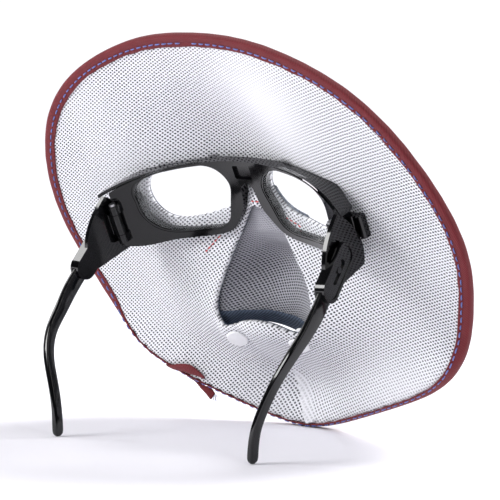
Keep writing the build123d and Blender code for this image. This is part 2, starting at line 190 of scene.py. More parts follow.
# Meshes
def add_mesh(name, points, faces, uv):
    """A mesh object from row-frame points; uv gives one pair for each corner of each face."""
    mesh = bpy.data.meshes.new(name)
    mesh.from_pydata([tuple(p) for p in points], [], faces)
    layer = mesh.uv_layers.new(name="weave")
    flat = [value for face in uv for pair in face for value in pair]
    layer.data.foreach_set("uv", flat)
    mesh.shade_smooth()
    mesh.validate()
    mesh.update()
    piece = bpy.data.objects.new(name, mesh)
    bpy.context.collection.objects.link(piece)
    return piece


def add_value(piece, name, values):
    attribute = piece.data.attributes.new(name, "FLOAT", "POINT")
    attribute.data.foreach_set("value", values)


def flat_triangles(outer, holes, spacing):
    """Triangles that fill a loop, leaving out its holes, with points about spacing apart."""
    points = []
    edges = []
    for loop in [outer] + holes:
        first = len(points)
        points.extend(Vector((float(x), float(u))) for x, u in loop)
        count = len(loop)
        edges.extend((first + i, first + (i + 1) % count) for i in range(count))
    low = outer.min(axis=0)
    high = outer.max(axis=0)
    row = 0
    u = low[1] + spacing * 0.5
    while u < high[1]:
        x = low[0] + spacing * (0.5 if row % 2 else 1.0)
        while x < high[0]:
            near = min(edge_distance(loop, x, u) for loop in [outer] + holes)
            if near > spacing * 0.6 and inside(outer, x, u) and not any(inside(h, x, u) for h in holes):
                points.append(Vector((x, u)))
            x += spacing
        u += spacing * 0.87
        row += 1
    found, _, faces, *_ = delaunay_2d_cdt(points, edges, [], 0, 1e-5)
    kept = []
    for face in faces:
        x = sum(found[i].x for i in face) / 3
        u = sum(found[i].y for i in face) / 3
        if inside(outer, x, u) and not any(inside(h, x, u) for h in holes):
            kept.append(tuple(face))
    return [(p.x, p.y) for p in found], kept


def cloth(name, outer, holes, spacing, near_side, far_side, weave):
    """A layer of cloth between two heights over the same outline, with its cut edges closed."""
    flat, faces = flat_triangles(outer, holes, spacing)
    count = len(flat)
    points = [place(x, near_side(x, u), u) for x, u in flat]
    points += [place(x, far_side(x, u), u) for x, u in flat]
    near_faces = []
    for a, b, c in faces:
        (ax, au), (bx, bu), (cx, cu) = flat[a], flat[b], flat[c]
        clockwise = (bx - ax) * (cu - au) - (bu - au) * (cx - ax) < 0
        near_faces.append((a, c, b) if clockwise else (a, b, c))
    border = {}
    for face in near_faces:
        for i in range(3):
            border[(face[i], face[(i + 1) % 3])] = True
    sides = [(b, a, a + count, b + count) for a, b in border if (b, a) not in border]
    everything = near_faces + [(a + count, c + count, b + count) for a, b, c in near_faces] + sides
    uv = []
    for face in everything:
        corners = [flat[i % count] for i in face]
        middle = (sum(c[0] for c in corners) / len(corners), sum(c[1] for c in corners) / len(corners))
        uv.append([weave(x, u, middle) for x, u in corners])
    piece = add_mesh(name, points, everything, uv)
    return piece, flat


def sweep(name, stations, closed):
    """Rings of points, one list for each station, joined into a tube; ends are capped if open.

    The weave runs in millimetres, along the tube and around it.
    """
    ring = len(stations[0])
    points = [p for station in stations for p in station]
    faces = []
    uv = []
    along = 0.0
    count = len(stations)
    around = [0.0]
    for i in range(ring):
        around.append(around[-1] + (stations[0][(i + 1) % ring] - stations[0][i]).length * 1000)
    for i in range(count if closed else count - 1):
        j = (i + 1) % count
        step = (stations[j][0] - stations[i][0]).length * 1000
        for k in range(ring):
            m = (k + 1) % ring
            faces.append((i * ring + k, j * ring + k, j * ring + m, i * ring + m))
            near, far = around[k], around[k + 1]
            uv.append([(along, near), (along + step, near), (along + step, far), (along, far)])
        along += step
    if not closed:
        faces.append(tuple(range(ring)))
        uv.append([(0, 0)] * ring)
        faces.append(tuple(range((count - 1) * ring, count * ring))[::-1])
        uv.append([(0, 0)] * ring)
    return add_mesh(name, points, faces, uv)


# Materials
def material(name, **values):
    made = bpy.data.materials.new(name)
    made.use_nodes = True
    shader = made.node_tree.nodes["Principled BSDF"]
    for key, value in values.items():
        shader.inputs[key.replace("_", " ")].default_value = value
    return made, made.node_tree.nodes, made.node_tree.links, shader


def add_node(nodes, kind, **values):
    node = nodes.new(kind)
    for key, value in values.items():
        if key.startswith("in_"):
            node.inputs[key[3:].replace("_", " ")].default_value = value
        else:
            setattr(node, key, value)
    return node


def maths(nodes, links, operation, first, second=0.0):
    node = add_node(nodes, "ShaderNodeMath", operation=operation)
    for slot, value in enumerate((first, second)):
        if isinstance(value, (int, float)):
            node.inputs[slot].default_value = value
        else:
            links.new(value, node.inputs[slot])
    return node.outputs[0]


def blend_colours(nodes, links, share, first, second):
    node = add_node(nodes, "ShaderNodeMix", data_type="RGBA")
    links.new(share, node.inputs[0])
    for slot, value in ((6, first), (7, second)):
        if isinstance(value, tuple):
            node.inputs[slot].default_value = (*value, 1)
        else:
            links.new(value, node.inputs[slot])
    return node.outputs[2]


def ramp(nodes, links, value, low, high, start=0.0, end=1.0):
    node = add_node(nodes, "ShaderNodeMapRange", interpolation_type="SMOOTHSTEP")
    links.new(value, node.inputs[0])
    for slot, number in ((1, low), (2, high), (3, start), (4, end)):
        node.inputs[slot].default_value = number
    return node.outputs[0]


def add_bump(nodes, links, shader, height, distance, strength=1.0):
    bump = add_node(nodes, "ShaderNodeBump", in_Distance=distance, in_Strength=strength)
    links.new(height, bump.inputs["Height"])
    links.new(bump.outputs[0], shader.inputs["Normal"])


def mesh_cloth_material(name, thread, hole, hole_size):
    """Spacer mesh: pale knit with staggered dark holes; the open value closes them where it is low. That
    value also paints highlights where it closes the holes and shade where it opens them.
    """
    made, nodes, links, shader = material(name, Roughness=0.85, Sheen_Weight=0.15)
    place_uv = add_node(nodes, "ShaderNodeUVMap", uv_map="weave")
    wander = add_node(nodes, "ShaderNodeTexNoise", in_Scale=0.35, in_Detail=1.0)
    links.new(place_uv.outputs[0], wander.inputs["Vector"])
    shift = add_node(nodes, "ShaderNodeVectorMath", operation="SCALE")
    links.new(wander.outputs["Color"], shift.inputs[0])
    shift.inputs["Scale"].default_value = 0.35
    moved = add_node(nodes, "ShaderNodeVectorMath", operation="ADD")
    links.new(place_uv.outputs[0], moved.inputs[0])
    links.new(shift.outputs[0], moved.inputs[1])
    cells = add_node(
        nodes, "ShaderNodeTexVoronoi", voronoi_dimensions="2D", in_Scale=1.0, in_Randomness=0.06
    )
    links.new(moved.outputs[0], cells.inputs["Vector"])
    # This per-point value paints highlight and shade as well as opening the holes.
    opened_and_painted_light = add_node(nodes, "ShaderNodeAttribute", attribute_name="holes_open_and_painted_light")
    grain = add_node(nodes, "ShaderNodeTexNoise", in_Scale=7.0, in_Detail=3.0)
    links.new(place_uv.outputs[0], grain.inputs["Vector"])
    hole_mask = ramp(nodes, links, cells.outputs["Distance"], hole_size, hole_size + 0.16, 1.0, 0.0)
    shown = maths(nodes, links, "MULTIPLY", hole_mask, opened_and_painted_light.outputs["Fac"])
    rows = add_node(nodes, "ShaderNodeTexWave", wave_type="BANDS", bands_direction="Y", in_Scale=0.318)
    links.new(moved.outputs[0], rows.inputs["Vector"])
    shade = maths(nodes, links, "MULTIPLY", rows.outputs["Fac"], 0.22)
    fuzz = ramp(nodes, links, grain.outputs["Fac"], 0.3, 0.8, 0.0, 0.25)
    thread_mix = maths(nodes, links, "ADD", shade, fuzz)
    darker = tuple(c * 0.78 for c in thread)
    threads = blend_colours(nodes, links, thread_mix, thread, darker)
    links.new(blend_colours(nodes, links, shown, threads, hole), shader.inputs["Base Color"])
    nap = maths(nodes, links, "MULTIPLY", grain.outputs["Fac"], 0.35)
    lift = maths(nodes, links, "SUBTRACT", nap, shown)
    add_bump(nodes, links, shader, lift, 0.0005, 0.7)
    return made


def twill_material(name, dark, light, pitch):
    """Twill or tape: fine diagonal ribs with a little wear, drawn on the cloth's own millimetres."""
    made, nodes, links, shader = material(name, Roughness=0.9, Sheen_Weight=0.04)
    place_uv = add_node(nodes, "ShaderNodeUVMap", uv_map="weave")
    ribs = add_node(
        nodes, "ShaderNodeTexWave", wave_type="BANDS", bands_direction="DIAGONAL", in_Scale=0.314 / pitch,
        in_Distortion=0.8, in_Detail=1.0,
    )
    links.new(place_uv.outputs[0], ribs.inputs["Vector"])
    worn = add_node(nodes, "ShaderNodeTexNoise", in_Scale=0.12, in_Detail=4.0)
    links.new(place_uv.outputs[0], worn.inputs["Vector"])
    fuzz = add_node(nodes, "ShaderNodeTexNoise", in_Scale=3.0, in_Detail=2.0)
    links.new(place_uv.outputs[0], fuzz.inputs["Vector"])
    wear = ramp(nodes, links, worn.outputs["Fac"], 0.3, 0.7, 0.7, 1.0)
    share = maths(nodes, links, "MULTIPLY", ribs.outputs["Fac"], wear)
    share = maths(nodes, links, "ADD", share, ramp(nodes, links, fuzz.outputs["Fac"], 0.45, 0.8, 0.0, 0.35))
    links.new(blend_colours(nodes, links, share, dark, light), shader.inputs["Base Color"])
    height = maths(nodes, links, "ADD", ribs.outputs["Fac"], fuzz.outputs["Fac"])
    add_bump(nodes, links, shader, height, 0.00015, 0.8)
    return made


def thread_material(name, dark, light):
    made, nodes, links, shader = material(name, Roughness=0.6, Sheen_Weight=0.2)
    place_uv = add_node(nodes, "ShaderNodeUVMap", uv_map="weave")
    twist = add_node(
        nodes, "ShaderNodeTexWave", wave_type="BANDS", bands_direction="DIAGONAL", in_Scale=1.1,
        in_Distortion=0.5,
    )
    links.new(place_uv.outputs[0], twist.inputs["Vector"])
    links.new(blend_colours(nodes, links, twist.outputs["Fac"], dark, light), shader.inputs["Base Color"])
    add_bump(nodes, links, shader, twist.outputs["Fac"], 0.00008, 0.8)
    return made


def plastic_material(name, colour, roughness, scratch):
    """Moulded plastic: polished, with faint orange peel and rubbed patches."""
    made, nodes, links, shader = material(name, Base_Color=(*colour, 1), Specular_IOR_Level=0.45)
    spot = add_node(nodes, "ShaderNodeTexCoord")
    rub = add_node(nodes, "ShaderNodeTexNoise", in_Scale=45.0, in_Detail=5.0, in_Roughness=0.65)
    links.new(spot.outputs["Object"], rub.inputs["Vector"])
    rubbed = ramp(nodes, links, rub.outputs["Fac"], 0.35, 0.75, roughness, roughness + 0.10)
    links.new(rubbed, shader.inputs["Roughness"])
    tint = tuple(min(1.0, c * 1.6 + 0.002) for c in colour)
    share = ramp(nodes, links, rub.outputs["Fac"], 0.4, 0.8, 0.0, 0.6)
    links.new(blend_colours(nodes, links, share, colour, tint), shader.inputs["Base Color"])
    peel = add_node(nodes, "ShaderNodeTexNoise", in_Scale=900.0, in_Detail=2.0)
    links.new(spot.outputs["Object"], peel.inputs["Vector"])
    add_bump(nodes, links, shader, peel.outputs["Fac"], scratch, 0.05)
    return made


def lens_material():
    """Clear polycarbonate: see-through, with a Fresnel gloss and a faint dusty haze."""
    made, nodes, links, shader = material("lens_clear", Roughness=0.03, IOR=1.58, Specular_IOR_Level=0.5)
    spot = add_node(nodes, "ShaderNodeTexCoord")
    dust = add_node(nodes, "ShaderNodeTexNoise", in_Scale=60.0, in_Detail=6.0, in_Roughness=0.7)
    links.new(spot.outputs["Object"], dust.inputs["Vector"])
    links.new(ramp(nodes, links, dust.outputs["Fac"], 0.45, 0.8, 0.04, 0.14), shader.inputs["Alpha"])
    links.new(ramp(nodes, links, dust.outputs["Fac"], 0.3, 0.8, 0.02, 0.10), shader.inputs["Roughness"])
    shader.inputs["Base Color"].default_value = (0.9, 0.93, 0.95, 1)
    return made


mesh_white = mesh_cloth_material("spacer_mesh", (0.82, 0.82, 0.86), (0.035, 0.035, 0.045), 0.235)
# Painted shade: the nose pocket's knit is the lining's knit with grey threads and darker, larger holes,
# standing in for the shade inside the deep pocket.
pocket_mesh_painted_shade = mesh_cloth_material("spacer_mesh_pocket_painted_shade", (0.40, 0.40, 0.44), (0.02, 0.02, 0.028), 0.27)
denim = twill_material("twill_dark_blue", (0.018, 0.026, 0.044), (0.09, 0.12, 0.18), 0.9)
tape = twill_material("binding_tape", (0.085, 0.004, 0.008), (0.185, 0.014, 0.020), 0.5)
blue_thread = thread_material("thread_blue", (0.07, 0.10, 0.36), (0.20, 0.27, 0.72))
red_thread = thread_material("thread_red", (0.62, 0.01, 0.02), (0.85, 0.05, 0.06))
white_thread = thread_material("thread_white", (0.55, 0.55, 0.62), (0.85, 0.85, 0.9))
black_plastic = plastic_material("black_gloss", (0.0015, 0.0015, 0.002), 0.06, 0.00001)
snap_plastic = plastic_material("snap_white", (0.80, 0.80, 0.82), 0.3, 0.00001)
pin_steel = plastic_material("pin_steel", (0.42, 0.42, 0.43), 0.28, 0.00001)
pin_steel.node_tree.nodes["Principled BSDF"].inputs["Metallic"].default_value = 1.0
lens_clear = lens_material()

for node, chosen in (
    ("glasses_frame", black_plastic),
    ("side_shield_right", black_plastic),
    ("side_shield_left", black_plastic),
    ("length_stud_right", black_plastic),
    ("length_stud_left", black_plastic),
    ("hinge_pin_right", pin_steel),
    ("hinge_pin_left", pin_steel),
    ("snap_socket_right", snap_plastic),
    ("snap_socket_left", snap_plastic),
    ("lens_right", lens_clear),
    ("lens_left", lens_clear),
):
    for slot_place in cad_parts[node].material_slots:
        slot_place.material = chosen


def finish_piece(piece, chosen, slot_name, *nodes):
    piece.data.materials.append(chosen)
    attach(piece, main)
    if nodes:
        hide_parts(*nodes)


# The knit's lattice: one hole every whole step, along the two directions of the holes
row_step = (1.76, 0.86)
next_row = (0.98, -1.10)
row_bend = 0.0009


def lattice(x, u, first, second):
    det = first[0] * second[1] - second[0] * first[1]
    return (x * second[1] - second[0] * u) / det, (first[0] * u - first[1] * x) / det


def seam_x(u):
    """The chin dart's seam, where the right side laps over the left."""
    return 3.6 - 0.46 * (u - 3)


def lining_weave(x, u, middle):
    return lattice(x, u + row_bend * x * x, row_step, next_row)


def ripple(x, u):
    """Gentle unevenness of the cloth, none where the glasses press on it."""
    calm = math.exp(-((max(abs(x) - 40, 0) / 34) ** 2) - ((u - 121) / 30) ** 2)
    soft = noise.noise((x * 0.028, u * 0.028, 3.1)) * 0.9 + noise.noise((x * 0.09, u * 0.09, 7.7)) * 0.28
    rim = math.exp(-max(edge_distance(outline, x, u) - 5, 0) / 9)
    pucker = math.sin(math.atan2(u - 105, x) * 61 + 3 * noise.noise((x * 0.05, u * 0.05, 0.4))) * 0.22
    return (soft + pucker * rim) * (1 - calm) * (1 - 0.75 * rim)


def rim_roll(x, u):
    """How far along the bottom rim turns edge-on, from 0 at the sides to 1 under the chin."""
    left = max(0.0, min(1.0, (67 - u) / 31)) if x < 0 else max(0.0, min(1.0, (62 - u) / 28))
    return left * left * (3 - 2 * left)


def lining_near(x, u):
    """The wearer's side of the lining: eased, rolled at the bottom rim, and flat under the left snap."""
    away = edge_distance(outline, x, u)
    roll = rim_roll(x, u)
    if away < rim_swell_inset:
        swell = away / rim_swell_inset
    else:
        swell = math.exp(-(((away - rim_swell_inset) / 13) ** 2))
    loose = mask_height(x, u) + ripple(x, u) - rim_swell * roll * swell
    seat_x = x + cap_spacing / 2
    seat_u = u - cap_up
    hold = math.exp(-((math.hypot(seat_x, seat_u) / 9.5) ** 4))
    level = mask_height(-cap_spacing / 2, cap_up) + 0.27 * seat_x - 0.42 * seat_u
    return loose * (1 - hold) + level * hold


lining_outer = grown(outline, -1.1)
lining, lining_flat = cloth(
    "mask_lining", lining_outer, [opening, eye_right, eye_left], 2.6,
    lining_near, lambda x, u: lining_near(x, u) + lining_thickness, lining_weave,
)


def hole_openness_and_painted_highlight(x, u):
    """How open the knit's holes look: closed over the brow as a painted highlight, closed right of the dart
    partly for the tighter knit there and partly as a painted highlight, and varied at random in patches.
    """
    # Painted highlight: holes closed over the upper brow so the lit top of the mask reads brighter.
    brow = 0.75 * math.exp(-(((x - 30) / 34) ** 2) - ((u - 178) / 26) ** 2)
    # Right of the dart: tighter knit there, and a painted highlight on the lit side of the dart's ridge.
    chin = 0.3 * max(0.0, min(1.0, (52 - u) / 20)) if x > seam_x(u) else 0.0
    patchy = 0.25 * (noise.noise((x * 0.02, u * 0.02, 9.0)) + 0.3)
    return max(0.12, min(1.0, 1.05 - brow - chin - patchy))


add_value(lining, "holes_open_and_painted_light", [hole_openness_and_painted_highlight(x, u) for x, u in lining_flat] * 2)
finish_piece(lining, mesh_white, "mesh", "mask_mesh_lining")

shell_opening = grown(opening, 0.2)
frayed = np.where((eye_right[:, 0] < 30) & (eye_right[:, 1] < 126), -0.7, 0.3)
shell, _ = cloth(
    "mask_shell", lining_outer, [shell_opening, grown(eye_right, frayed), grown(eye_left, 0.3)], 4.0,
    lambda x, u: lining_near(x, u) + shell_start, lambda x, u: lining_near(x, u) + shell_end,
    lambda x, u, middle: (x, u),
)
finish_piece(shell, denim, "denim", "mask_outer_shell")


# Binding folded round the rim, with a channel for the cloth and a groove along the stitching
binding_profile = [
    (binding_depth, -0.04), (6.3, -0.42), (6.0, -0.68), (5.2, -0.72), (4.5, -0.62), (4.2, -0.5),
    (3.9, -0.62), (3.1, -0.74), (1.4, -0.76), (0.5, -0.6), (0.05, -0.1), (-0.05, 0.9), (-0.05, 2.1),
    (0.1, 3.0), (0.6, 3.5), (1.6, 3.62), (3.4, 3.6), (4.2, 3.42), (5.0, 3.6), (6.0, 3.55), (6.3, 3.3),
    (binding_depth, 2.98), (1.15, 2.98), (1.15, -0.04),
]


def inward_ways(loop):
    ahead = np.roll(loop, -1, axis=0) - np.roll(loop, 1, axis=0)
    ahead = ahead / np.linalg.norm(ahead, axis=1)[:, None]
    return np.stack([ahead[:, 1], -ahead[:, 0]], axis=1)


binding_stations = []
for spot, inward in zip(outline, inward_ways(outline)):
    wave = noise.noise((spot[0] * 0.11, spot[1] * 0.11, 1.7))
    station = []
    narrow = 1 - binding_narrowing * rim_roll(*spot)
    for depth, lift in binding_profile:
        edge = max(0.0, (depth - 4.6) / 1.6)
        d = (depth + edge * wave * 0.45) * (narrow if depth > 1.2 else 1)
        x, u = spot + inward * d
        swell = 0.0 if depth in (1.15, binding_depth) else wave * 0.12 * math.copysign(1, lift - 1.4)
        station.append(place(x, lining_near(x, u) + lift + swell, u))
    binding_stations.append(station)
binding = sweep("edge_binding_tape", binding_stations, True)
finish_piece(binding, tape, "binding", "edge_binding")


# Threads
def thread_points(path, radius, sides=7):
    """Rings round a short path of row-frame points; the ends taper into the cloth."""
    rings = []
    count = len(path)
    for i, spot in enumerate(path):
        way = (path[min(i + 1, count - 1)] - path[max(i - 1, 0)]).normalized()
        across = way.orthogonal().normalized()
        other = way.cross(across)
        size = radius * (0.45 if i in (0, count - 1) else 1.0)
        rings.append([
            spot + (across * math.cos(t) + other * math.sin(t)) * size
            for t in [2 * math.pi * k / sides for k in range(sides)]
        ])
    return rings


def thread_group(name, paths, radius, chosen, slot_name, *nodes):
    points = []
    faces = []
    uv = []
    for path in paths:
        rings = thread_points(path, radius)
        first = len(points)
        sides = len(rings[0])
        points.extend(p for r in rings for p in r)
        for i in range(len(rings) - 1):
            for k in range(sides):
                m = (k + 1) % sides
                here = first + i * sides
                after = here + sides
                faces.append((here + k, after + k, after + m, here + m))
                uv.append([(i, k), (i + 1, k), (i + 1, k + 1), (i, k + 1)])
        for ring_at, order in ((0, 1), (len(rings) - 1, -1)):
            faces.append(tuple(first + ring_at * sides + k for k in range(sides))[::order])
            uv.append([(0, 0)] * sides)
    piece = add_mesh(name, points, faces, uv)
    finish_piece(piece, chosen, slot_name, *nodes)
    return piece


stitch_depth = np.array([stitch_inset * (1 - binding_narrowing * rim_roll(x, u)) for x, u in outline])
stitch_loop = spline_points(list(map(tuple, grown(outline, -stitch_depth)[::8])), 1400, True)
stitch_total = float(np.sum(np.linalg.norm(np.roll(stitch_loop, -1, axis=0) - stitch_loop, axis=1)))
per_step = len(stitch_loop) / stitch_total


def loop_point(travel):
    i = int(travel * per_step) % len(stitch_loop)
    return stitch_loop[i]


stitch_paths = []
for i in range(int((stitch_total - 3) / stitch_pitch)):
    path = []
    for k in range(7):
        share = k / 6
        x, u = loop_point(1 + i * stitch_pitch + stitch_length * share)
        x = x + 0.14 * math.sin(i * 2.4)
        lift = -0.62 - 0.42 * math.sin(math.pi * share) ** 0.5
        path.append(place(x, lining_near(x, u) + lift, u))
    stitch_paths.append(path)
thread_group("binding_stitch_row", stitch_paths, 0.00034, blue_thread, "blue_thread", "binding_stitches")


def seam_paths(start, end, lift, dashes):
    paths = []
    for i in range(dashes):
        path = []
        for k in range(5):
            share = (i + 0.66 * k / 4) / dashes
            x = start[0] + (end[0] - start[0]) * share
            u = start[1] + (end[1] - start[1]) * share
            path.append(place(x, mask_height(x, u) + lift - 0.15 * math.sin(math.pi * k / 4), u))
        paths.append(path)
    return paths


red_paths = seam_paths((-28, 101.2), (-38, 93.1), -0.2, 5)
red_paths += seam_paths((13.4, 113.4), (26, 107.6), -0.2, 5)
red_paths += seam_paths((-2, 120.6), (3.6, 120.4), -0.2, 2)
thread_group("seam_stitch_rows", red_paths, 0.00032, red_thread, "red_thread", "seam_stitches")


# Nose pocket and its rolled hem
pocket_sides = [(-x, u) for x, u in pocket_half[::-1]] + pocket_half[1:]
top_curve = spline_points(pocket_sides, 90, False)
hem_curve = spline_points(hem_line, 60, False)
to_the_right = np.clip((top_curve[:, 0] - 20) / 14, 0, 1)
top_curve[:, 1] -= 3.0 * to_the_right * np.clip((80 - top_curve[:, 1]) / 14, 0, 1)
pocket_outline = np.vstack([top_curve, hem_curve[1:-1] + np.array([0, 2.6])])


def pocket_near(x, u):
    crease = -0.9 * math.exp(-(((u - 96 + 0.006 * x * x) / 2.6) ** 2)) * max(0.0, 1 - (x / 24) ** 2)
    soft = noise.noise((x * 0.07, u * 0.07, 5.0)) * 0.7
    calm = max(0.0, 1 - (x / max(seam_half_width(u), 1)) ** 2)
    return pocket_height(x, u) + 0.9 + (crease + soft) * calm


def pocket_weave(x, u, middle):
    return lattice(x, u, (1.5, 0.2), (0.74, -1.06))


pocket, pocket_flat = cloth(
    "nose_pocket_mesh", pocket_outline, [], 1.8,
    pocket_near, lambda x, u: pocket_near(x, u) + 1.6, pocket_weave,
)
# Painted shade: holes open wider towards the pocket's lower left, so the inside of the pocket reads darker
# there.
pocket_painted_shade = [0.45 + 0.55 * max(0.0, min(1.0, (104 - u - 0.3 * x) / 24)) for x, u in pocket_flat]
add_value(pocket, "holes_open_and_painted_light", pocket_painted_shade * 2)
finish_piece(pocket, pocket_mesh_painted_shade, "mesh", "nose_pocket_lining")

pocket_shell, _ = cloth(
    "nose_pocket_cover", pocket_outline, [], 2.4,
    lambda x, u: pocket_near(x, u) + 1.7, lambda x, u: pocket_near(x, u) + 2.4, lambda x, u, middle: (x, u),
)
finish_piece(pocket_shell, denim, "denim", "nose_pocket_shell")

hem_stations = []
for x, u in spline_points(hem_line, 90, False):
    middle = u + 1.8
    base = pocket_height(x, middle) + 2.0
    ring = []
    for k in range(16):
        t = 2 * math.pi * k / 16
        wobble = 1 + 0.05 * noise.noise((x * 0.3, k * 0.4, 2.0))
        low = max(0.0, -math.cos(t))
        spot_n = base + (1.75 - 0.5 * low) * math.sin(t) * wobble
        drop = 3.6 + min(4.2, 0.17 * max(0.0, x + 13)) + 0.09 * max(0.0, -x - 20)
        ring.append(place(x, spot_n, middle + 1.9 * math.cos(t) * wobble - drop * low ** 2))
    hem_stations.append(ring)
hem = sweep("nose_pocket_roll", hem_stations, False)
finish_piece(hem, denim, "denim", "nose_pocket_hem")


# Chin dart: the right side's cloth lapped over the left, thinning out to the right
dart_edge = [(seam_x(u), u) for u in np.linspace(5.2, 30, 18)]
dart_rest = [(-3, 35.5), (8, 38.5), (22, 34), (28, 24), (26, 14), (16, 8.6), (8, 6.2)]
dart_outline = np.array(dart_edge + dart_rest)


def dart_near(x, u):
    share = max(0.0, min(1.0, (x - seam_x(u)) / 15))
    top = max(0.0, min(1.0, (u - 20) / 9))
    return lining_near(x, u) + 0.5 * min(1.0, share * 1.8 + top) - 2.2 * (1 - share) ** 3 * (1 - top) ** 0.7


dart, dart_flat = cloth(
    "chin_dart_lap", dart_outline, [], 1.6, dart_near, lambda x, u: lining_near(x, u) + 0.9, lining_weave
)
# Holes close towards the seam on the lap: its finer knit, and a painted highlight along the lapped edge.
dart_openness_and_painted_highlight = [hole_openness_and_painted_highlight(x, u) * min(1.0, 0.3 + (x - seam_x(u)) / 16) for x, u in dart_flat]
add_value(dart, "holes_open_and_painted_light", dart_openness_and_painted_highlight * 2)
finish_piece(dart, mesh_white, "mesh", "chin_dart_overlap")


# Snap caps: low domes with a rolled rim and a shallow middle
def snap_frame(side, lift):
    x = side * cap_spacing / 2
    spot = place(x, lining_near(x, cap_up), cap_up)
    across = place(x + 1, lining_near(x + 1, cap_up), cap_up) - spot
    along = place(x, lining_near(x, cap_up + 1), cap_up + 1) - spot
    normal = along.cross(across).normalized()
    if normal.y > 0:
        normal = -normal
    first = across.normalized()
    return spot + normal * lift, first, normal.cross(first), normal


cap_profile = [
    (0.0, 1.45), (1.2, 1.41), (2.4, 1.28), (3.5, 1.10), (4.0, 1.04), (4.4, 1.07), (4.8, 1.0),
    (5.2, 0.78), (5.45, 0.42), (5.4, 0.05), (4.9, 0.0), (0.0, 0.0),
]
for side, word in ((1, "right"), (-1, "left")):
    origin, first, second, normal = snap_frame(side, 0.0002)
    stations = []
    for radius, lift in cap_profile:
        ring = []
        for k in range(48):
            t = 2 * math.pi * k / 48
            spot = origin + (first * math.cos(t) + second * math.sin(t)) * max(radius, 0.02) * 0.001
            ring.append(spot + normal * lift * 0.001)
        stations.append(ring)
    cap = sweep(f"snap_dome_{word}", stations, False)
    finish_piece(cap, snap_plastic, "snap_plastic", f"snap_cap_{word}")


# Loose ends of the binding at the lower left, with frayed threads
tail_section = [
    (-1, -0.3), (-0.5, -0.35), (0, -0.42), (0.5, -0.35), (1, -0.3), (1, 0.05), (0, 0.05), (-1, 0.05),
]


def tail(name, node, middle_line, widths, lift):
    stations = []
    line = spline_points(middle_line, 26, False)
    for i, (x, u) in enumerate(line):
        share = i / (len(line) - 1)
        half = np.interp(share, np.linspace(0, 1, len(widths)), widths) / 2
        ahead = line[min(i + 1, len(line) - 1)] - line[max(i - 1, 0)]
        ahead = ahead / np.linalg.norm(ahead)
        across = np.array([-ahead[1], ahead[0]])
        curl = 0.7 * math.sin(share * 3.0)
        ring = []
        for s, side in tail_section:
            spot = np.array([x, u]) + across * half * s
            ring.append(place(spot[0], lining_near(*spot) + lift + side - curl * (1 + s) * 0.5, spot[1]))
        stations.append(ring)
    piece = sweep(name, stations, False)
    finish_piece(piece, tape, "binding", node)
    return piece


inner_line = [(-85, 28.6), (-76, 29.2), (-67, 28.6), (-58.5, 24.6)]
tail("binding_end_inner", "binding_tail_inner", inner_line, [1.0, 3.6, 5.4, 1.2], -1.4)
outer_line = [(-73, 22.6), (-65, 18.6), (-57.6, 13.6)]
tail("binding_end_outer", "binding_tail_outer", outer_line, [2.0, 3.2, 2.2], -1.3)

fray_paths = []
for i in range(9):
    start = np.array([-59.4 + 0.3 * i, 15.4 - 0.2 * i])
    path = []
    for k in range(6):
        share = k / 5
        x = start[0] + share * (2.2 + 0.4 * math.sin(i * 1.7))
        u = start[1] - share * (2.2 + 0.8 * math.sin(i * 2.3)) + 0.35 * math.sin(share * 5 + i)
        path.append(place(x, lining_near(x, u) - 1.0 + 0.5 * math.sin(i + share * 3), u))
    fray_paths.append(path)
thread_group("binding_fray_white", fray_paths[::2], 0.00014, white_thread, "blue_thread")
thread_group("binding_fray_blue", fray_paths[1::2], 0.00014, blue_thread, "blue_thread")


# Temple arms: a flat head in the sleeve, then a round-cornered bar that curves down and in
plate_tilt = math.radians(5)
slide_drop = math.radians(28)
back_way = np.array([math.sin(plate_tilt), -math.cos(plate_tilt), 0.0])
out_way = np.array([math.cos(plate_tilt), math.sin(plate_tilt), 0.0])
slide_way = back_way * math.cos(slide_drop) - np.array([0, 0, math.sin(slide_drop)])
sleeve_mouth = np.array([75.5, -8.0, 0.0]) + back_way * 13.5 + np.array([0, 0, 113.5]) + out_way * 1.7
arm_route = [sleeve_mouth + slide_way * d for d in (2, 12, 22, 32)] + [
    np.array(p) for p in (
        (80.2, -60, 92.9), (78.6, -71.5, 87.2), (74.6, -81.5, 79.2), (69.6, -88.4, 69.8),
        (65.6, -94.4, 60.0), (64.0, -101.0, 46.5),
    )
]
arm_sizes = [
    (0.0, 2.5, 8.3), (0.285, 2.5, 8.3), (0.37, 3.3, 7.2), (0.52, 3.5, 5.8), (0.68, 3.4, 5.1),
    (0.86, 3.4, 5.0), (0.97, 3.5, 5.2), (0.985, 3.2, 4.9), (0.995, 2.3, 3.6), (1.0, 1.2, 2.2),
]


def rounded_ring(thick, wide, corner, steps=5):
    ring = []
    for turn_at, (sx, sy) in enumerate(((1, 1), (-1, 1), (-1, -1), (1, -1))):
        for k in range(steps):
            t = math.pi / 2 * (turn_at + k / (steps - 1))
            a = sx * (thick / 2 - corner) + corner * math.cos(t)
            b = sy * (wide / 2 - corner) + corner * math.sin(t)
            ring.append((a, b))
    return ring


